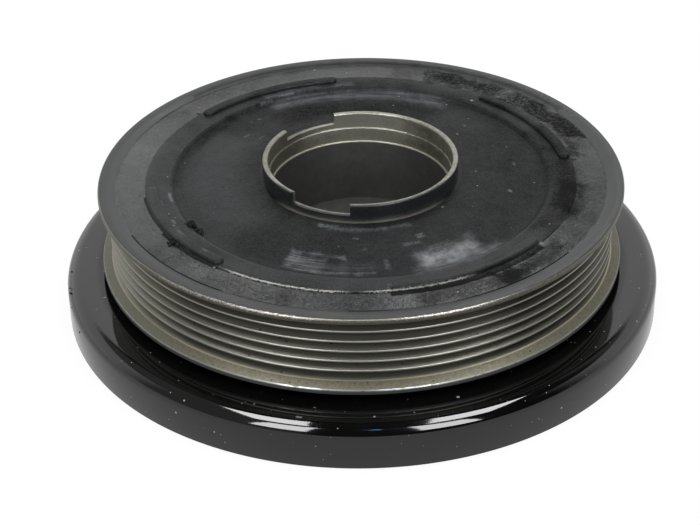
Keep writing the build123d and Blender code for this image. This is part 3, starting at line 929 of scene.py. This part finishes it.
rubber = {"steps": 288, "profile": [
    (34.04, 45.5, 0),
    (33.74, 45.8, 0),
    (36, 45.8, 1.6),
    (49, 44.65, 5),
    (60, 42.95, 1.9),
    (61.8, 43.3875, 0.9),
    (63.2, 44.7, 1.3),
    (71.5, 44.7, 0.16),
    (71.6, 44.3, 0.1),
    (81.15, 44.3, 0.25),
    (81.15, 42.5, 0),
    (64.5, 42.5, 0),
    (64.5, 40.9, 0),
    (76.4, 40.9, 0),
    (76.4, 26.9, 0),
    (57.5, 29.9, 12),
    (38.6, 29.53, 0),
    (38.6, 42.63, 0),
    (34.04, 42.63, 0),
]}
turnedPiece("rubberFace", rubber, "coupling_rubber", faceRubber)

ribs = {"count": 4, "firstAngle": 29.3, "span": 45.0, "radius": 69.4, "width": 3.9, "foot": 44.0, "height": 1.7,
        "steps": 40, "endSteps": 10, "round": 0.8, "roundSteps": 5}
ramps = {"steps": 30, "section": [(71.0, 44.0), (71.0, 44.69), (71.5, 44.7), (74.0, 44.3), (74.0, 43.9)]}
seamFill = {"spans": [(322.0, 245.0), (239.0, 28.0)],
            "section": [(80.9, 43.5), (80.9, 44.28), (81.2, 44.33), (81.6, 44.3), (81.6, 43.5)]}
middles = [ribs["firstAngle"] + 360 / ribs["count"] * index for index in range(ribs["count"])]
bm = bmesh.new()
for middle in middles:
    arcStrip(bm, ribs["radius"], ribs["width"], middle, ribs["span"], ribs["foot"], ribs["steps"], ribs["endSteps"])
tops = [item for item in raised(bm, ribs["height"]) if isinstance(item, bmesh.types.BMFace)]
topEdges = {edge for face in tops for edge in face.edges}
rounded(bm, list(topEdges), "EDGES", ribs["round"], ribs["roundSteps"])
for middle in middles:
    sectorOf(bm, ramps["section"], middle - ribs["span"] / 2, ribs["span"], ramps["steps"])
for start, span in seamFill["spans"]:
    sectorOf(bm, seamFill["section"], start, span, int(span / 2))
bmesh.ops.recalc_face_normals(bm, faces=bm.faces[:])
newPiece("stopRibs", bm, None, faceRubber)

# torn bits of moulding flash and crumbs of dirt, each (angle, radius, height, size)
crumbs = {
    "flash": [
        (215.4, 72.8, 44.4, 1.25),
        (217.2, 72, 44.6, 0.8),
        (214, 72, 44.6, 0.7),
        (209.3, 62.5, 44.3, 1.5),
        (210.6, 61.8, 44.2, 0.8),
        (213.4, 62, 44.1, 1.3),
        (214.9, 61.5, 43.9, 0.7),
    ],
    "grit": [
        (191.6, 99.3, 13.6, 0.3),
        (193, 99.3, 13.2, 0.4),
        (196.5, 99.8, 11.6, 0.25),
        (198.2, 99.9, 10.4, 0.22),
        (203, 99.9, 9, 0.25),
        (186, 98.3, 14, 0.28),
    ],
    "wobbles": [(1500, 0.9), (4000, 0.4)],
    "flatten": 0.7,
}


def crumbPiece(name, places, firstSeed, seedStep):
    bm = bmesh.new()
    for index, (angle, radius, height, size) in enumerate(places):
        seed = firstSeed + index * seedStep
        centre = Vector(polar(radius, radians(angle), height))
        spot = Matrix.Translation(centre)
        for vert in bmesh.ops.create_icosphere(bm, subdivisions=3, radius=size * mm, matrix=spot)["verts"]:
            offset = vert.co - centre
            wobble = 1.0
            for (scale, gain), shift in zip(crumbs["wobbles"], ((seed, 0, 0), (0, seed, 0))):
                wobble += gain * noise.noise(offset * scale + Vector(shift))
            vert.co = centre + offset * wobble
            vert.co.z = centre.z + (vert.co.z - centre.z) * crumbs["flatten"]
    newPiece(name, bm, None, crumbDark)


crumbPiece("flashBits", crumbs["flash"], 0, 3.7)
crumbPiece("gritBits", crumbs["grit"], 20, 2.9)
print("pieces made")

# nodes that stay as they are get their own finish
finishes = {"thrust_washer": bearingPolymer, "plain_bearing": bearingBronze, "carrier_ring": sheetSteel}
for nodeName, material in finishes.items():
    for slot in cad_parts[nodeName].material_slots:
        slot.material = material

# stage: a pale floor
floorLook = {"size": 6, "glow": 0.9, "mirrored": 0.6, "white": 0.8, "dimmed": 0.8, "roughness": 0.9, "drop": 0.0001}
bm = bmesh.new()
bmesh.ops.create_grid(bm, x_segments=1, y_segments=1, size=floorLook["size"])
floor = newObject("floor", meshOf("floor", bm))
floorWhite = bpy.data.materials.new("floorWhite")
floorWhite.use_nodes = True
tree = floorWhite.node_tree
shader = tree.nodes["Principled BSDF"]
finish(shader, (floorLook["white"],) * 3 + (1.0,), floorLook["roughness"], specular=0.0)
rays = addNode(tree, "ShaderNodeLightPath").outputs
seen = most(rays["Is Camera Ray"], rays["Is Glossy Ray"], rays["Is Transmission Ray"])
mirrored = less(seen, rays["Is Camera Ray"], clamp=True)
glow = addNode(tree, "ShaderNodeEmission")
plug(glow.inputs["Color"], (1.0, 1.0, 1.0, 1.0))
plug(glow.inputs["Strength"], plus(times(rays["Is Camera Ray"], floorLook["glow"]),
                                         times(mirrored, floorLook["mirrored"])))
black = addNode(tree, "ShaderNodeBsdfDiffuse")
plug(black.inputs["Color"], (0.0, 0.0, 0.0, 1.0))


def mixShaders(tree, factor, first, second):
    node = addNode(tree, "ShaderNodeMixShader")
    for socket, value in zip(node.inputs, (factor, first, second)):
        plug(socket, value)
    return node.outputs[0]


dimmed = mixShaders(tree, times(seen, floorLook["dimmed"]), shader.outputs[0], black.outputs[0])
lit = addNode(tree, "ShaderNodeAddShader")
plug(lit.inputs[0], dimmed)
plug(lit.inputs[1], glow.outputs[0])
# from below it lets the eye and the light through
underneath = times(addNode(tree, "ShaderNodeNewGeometry").outputs["Backfacing"], rays["Is Camera Ray"])
clear = addNode(tree, "ShaderNodeBsdfTransparent").outputs[0]
surface = mixShaders(tree, most(underneath, rays["Is Diffuse Ray"]), lit.outputs[0], clear)
plug(tree.nodes["Material Output"].inputs["Surface"], surface)
floor.data.materials.append(floorWhite)
floor.location.z = -floorLook["drop"]

# world: white all round low down, darker towards the ceiling
worldLook = {
    "ambient": 0.55, "ceiling": 0.012,
    "fade": (sin(radians(31)), sin(radians(36))), "fadeShift": (0.11, 0.14, 0, 0.075), "front": (-0.35, 0.25),
    "sideGlow": 0.26, "leftLimits": (-0.4, -0.25), "rightLimits": (0.3, 0.45), "rightFrom": (0.2, 0.5),
    "horizon": (-0.01, 0.01),
}
look = worldLook
world = bpy.data.worlds.new("studio")
bpy.context.scene.world = world
world.use_nodes = True
world.cycles.sampling_method = "NONE"
tree = world.node_tree
split = addNode(tree, "ShaderNodeSeparateXYZ")
plug(split.inputs[0], addNode(tree, "ShaderNodeTexCoord").outputs["Generated"])
x, y, z = split.outputs
lowered = less(z, ease(calc("ABSOLUTE", x), *look["fadeShift"]))
shade = ease(lowered, *look["fade"], 1.0, look["ceiling"])
leftGlow = ease(x, *look["leftLimits"], look["sideGlow"], 0.0)
rightGlow = ease(x, *look["rightLimits"], 0.0, look["sideGlow"])
rightGlow = times(rightGlow, past(y, look["rightFrom"]))
shade = most(shade, leftGlow, rightGlow)
behind = most(ease(y, *look["front"], look["ceiling"], 1.0), leftGlow)
underFloor = less(1.0, past(z, look["horizon"]))
shade = calc("MINIMUM", shade, most(behind, underFloor))
rays = addNode(tree, "ShaderNodeLightPath").outputs
reflected = most(rays["Is Glossy Ray"], rays["Is Transmission Ray"])
ambient = times(less(1.0, reflected), look["ambient"])
strength = most(plus(times(reflected, shade), ambient), rays["Is Camera Ray"])
background = tree.nodes["Background"]
plug(background.inputs["Color"], (1.0, 1.0, 1.0, 1.0))
plug(background.inputs["Strength"], strength)

# softboxes: place of the centre, the point each faces, turn, size, radiance, colour;
# the fill lights, the others are only mirrored
softboxes = {
    "overheadLeft": ((-0.38, -0.26, 1), (-0.38, -0.26, 0), -12, (0.32, 0.6), 12, (1, 1, 1)),
    "overheadRight": ((0.45, -0.23, 1), (0.45, -0.23, 0), 12, (0.38, 0.6), 12, (1, 1, 1)),
    "backLeft": ((-0.19, 0.87, 1), (0, 0, 0), 0, (0.14, 0.4), 6, (1, 1, 1)),
    "backRight": ((0.2, 0.87, 1), (0, 0, 0), 0, (0.18, 0.4), 8, (1, 1, 1)),
    "frontLeft": ((-0.515, -0.9, 0.74), (-0.515, 0, 0.74), 0, (0.4, 0.84), 11, (1, 1, 1)),
    "frontRight": ((0.53, -0.9, 0.74), (0.53, 0, 0.74), 0, (0.44, 0.84), 11, (1, 1, 1)),
    "blueWindow": ((0.075, -0.9, 0.94), (0.075, 0, 0.94), 0, (0.07, 0.05), 30, (0.12, 0.4, 1)),
    "fill": ((0, -0.5, 1.8), (0, 0, 0), 0, (1.6, 1.2), 1.4, (1, 1, 1)),
}
for name, (centre, faced, turn, (width, height), radiance, colour) in softboxes.items():
    lamp = bpy.data.lights.new(name, "AREA")
    lamp.shape = "RECTANGLE"
    lamp.size = width
    lamp.size_y = height
    lamp.energy = radiance * pi * width * height
    lamp.color = colour
    holder = newObject(name, lamp)
    holder.location = centre
    aimed = (Vector(faced) - Vector(centre)).to_track_quat("-Z", "Y").to_matrix()
    holder.rotation_euler = (aimed @ Matrix.Rotation(radians(turn), 3, "Z")).to_euler()
    holder.visible_camera = False
    holder.visible_diffuse = name == "fill"
    holder.visible_glossy = name != "fill"

# camera
view = {"lens": 93.06, "sensor": 36, "clip": 0.01, "place": (0, -0.52406, 0.34284), "yaw": 0.436, "tilt": 57.559,
        "roll": -0.965}
cameraData = bpy.data.cameras.new("camera")
cameraData.lens = view["lens"]
cameraData.sensor_width = view["sensor"]
cameraData.clip_start = view["clip"]
camera = newObject("camera", cameraData)
camera.matrix_world = (
    Matrix.Translation(view["place"])
    @ Matrix.Rotation(radians(view["yaw"]), 4, "Z")
    @ Matrix.Rotation(radians(view["tilt"]), 4, "X")
    @ Matrix.Rotation(radians(view["roll"]), 4, "Z")
)
bpy.context.scene.camera = camera
bpy.context.scene.view_settings.view_transform = "Standard"
